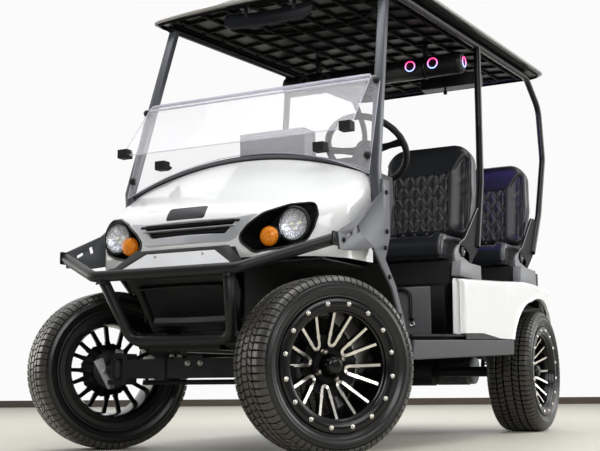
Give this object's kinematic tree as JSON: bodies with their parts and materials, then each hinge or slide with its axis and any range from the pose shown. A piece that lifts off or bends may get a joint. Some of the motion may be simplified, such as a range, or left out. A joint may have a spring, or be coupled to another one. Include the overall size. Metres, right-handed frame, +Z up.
{
  "type": "electric golf cart",
  "caption": "Electric golf cart with two forward-facing bench rows, canopy roof on tube struts, folded-down windshield, tube brush guard and steered front wheels.",
  "frame": {"origin": "on the floor, under the middle of the cart's overall box", "axes": "+X forwards, +Y to the cart's left, +Z up"},
  "size_m": [2.9162, 1.4377, 1.9236],
  "materials": {
    "frame_black": "satin black powder coat",
    "guard_black": "black powder-coated tube",
    "axle_steel": "dull machined steel",
    "spring_steel": "dark oiled steel",
    "axle_cast": "black-painted casting",
    "motor_metal": "dull cast aluminium",
    "shock_body": "black paint",
    "floor_mat": "ribbed floor mat on a steel pan",
    "rocker_grey": "satin dark-grey moulding",
    "battery_case": "black case",
    "body_white": "glossy moulded white",
    "fascia_black": "textured black moulding",
    "lamp_clear": "clear lens over a reflector",
    "lamp_amber": "amber lens",
    "lamp_red": "red lens",
    "bracket_grey": "satin dark-grey paint",
    "liner_black": "matte black moulding",
    "dash_black": "grained black moulding",
    "column_black": "matte black paint",
    "wheel_black": "grained black grip",
    "pillar_grey": "satin dark-grey paint",
    "windshield": "clear acrylic, slightly hazy",
    "clip_rubber": "black rubber",
    "roof_black": "black moulding, ribbed underside",
    "mirror_black": "black shell",
    "speaker_black": "black tube with lit rings",
    "base_black": "black moulding",
    "seat_leather": "black quilted upholstery",
    "arm_black": "black moulding",
    "bumper_black": "black moulding",
    "tyre_rubber": "black rubber",
    "rim_black": "gloss black with machined faces"
  },
  "bodies": {
    "chassis": {"frame": "frame_black", "front_axle_beam": "axle_cast", "leaf_springs": "spring_steel", "rear_axle": "axle_cast", "drive_motor": "motor_metal", "shock_absorbers": "shock_body", "floor_pan": "floor_mat", "rocker_panels": "rocker_grey", "battery_pack": "battery_case", "front_cowl": "body_white", "front_fascia": "fascia_black", "nose_panel": "body_white", "headlights": "lamp_clear", "turn_signals": "lamp_amber", "brush_guard": "guard_black", "side_brackets": "bracket_grey", "wheel_arch_liners": "liner_black", "dashboard": "dash_black", "steering_column": "column_black", "pedals": "fascia_black", "front_pillars": "pillar_grey", "windshield_lower": "windshield", "windshield_upper": "windshield", "windshield_clips": "clip_rubber", "roof_struts": "frame_black", "roof": "roof_black", "rear_view_mirror": "mirror_black", "sound_bar": "speaker_black", "rear_body": "body_white", "seat_bases": "base_black", "rear_seat_cushion": "seat_leather", "seat_backs": "seat_leather", "hip_restraints": "arm_black", "rear_bumper": "bumper_black", "tail_lights": "lamp_red"},
    "left_knuckle": {"left_knuckle": "axle_cast"},
    "right_knuckle": {"right_knuckle": "axle_cast"},
    "tie_rod": {"tie_rod": "axle_steel"},
    "left_front_wheel": {"left_front_tyre": "tyre_rubber", "left_front_rim": "rim_black"},
    "right_front_wheel": {"right_front_tyre": "tyre_rubber", "right_front_rim": "rim_black"},
    "left_rear_wheel": {"left_rear_tyre": "tyre_rubber", "left_rear_rim": "rim_black"},
    "right_rear_wheel": {"right_rear_tyre": "tyre_rubber", "right_rear_rim": "rim_black"},
    "steering_wheel": {"steering_wheel": "wheel_black"},
    "front_cushion": {"front_seat_cushion": "seat_leather"}
  },
  "joints": [
    {"name": "left_steer", "type": "hinge", "parent": "chassis", "child": "left_knuckle", "pos_m": [1.12, 0.391, 0.288], "axis": [0, 0, 1], "range_deg": [0, 68.6]},
    {"name": "right_steer", "type": "hinge", "parent": "chassis", "child": "right_knuckle", "pos_m": [1.12, -0.391, 0.288], "axis": [0, 0, 1], "range_deg": [0, 68.6]},
    {"name": "tie_rod_pivot", "type": "hinge", "parent": "left_knuckle", "child": "tie_rod", "pos_m": [1.02913, 0.45299, 0.24], "axis": [0, 0, 1], "range_deg": [-68.6, 0]},
    {"name": "steering_wheel_turn", "type": "hinge", "parent": "chassis", "child": "steering_wheel", "pos_m": [0.356, 0.268, 1.176], "axis": [-0.682, 0, 0.7314], "range_deg": [0, 686]},
    {"name": "left_front_wheel_spin", "type": "hinge", "parent": "left_knuckle", "child": "left_front_wheel", "pos_m": [1.17973, 0.47857, 0.288], "axis": [0.5635, 0.8261, 0], "continuous": true},
    {"name": "right_front_wheel_spin", "type": "hinge", "parent": "right_knuckle", "child": "right_front_wheel", "pos_m": [1.06027, -0.47857, 0.288], "axis": [0.5635, 0.8261, 0], "continuous": true},
    {"name": "left_rear_wheel_spin", "type": "hinge", "parent": "chassis", "child": "left_rear_wheel", "pos_m": [-0.915, 0.518, 0.288], "axis": [0, 1, 0], "continuous": true},
    {"name": "right_rear_wheel_spin", "type": "hinge", "parent": "chassis", "child": "right_rear_wheel", "pos_m": [-0.915, -0.518, 0.288], "axis": [0, 1, 0], "continuous": true},
    {"name": "front_seat_cushion_lid", "type": "hinge", "parent": "chassis", "child": "front_cushion", "pos_m": [0.13, 0, 0.735], "axis": [0, 1, 0], "range_deg": [0, 60]}
  ],
  "couplings": [
    {"joint": "right_steer", "follows": "left_steer", "ratio": 1},
    {"joint": "tie_rod_pivot", "follows": "left_steer", "ratio": -1},
    {"joint": "steering_wheel_turn", "follows": "left_steer", "ratio": 10}
  ]
}
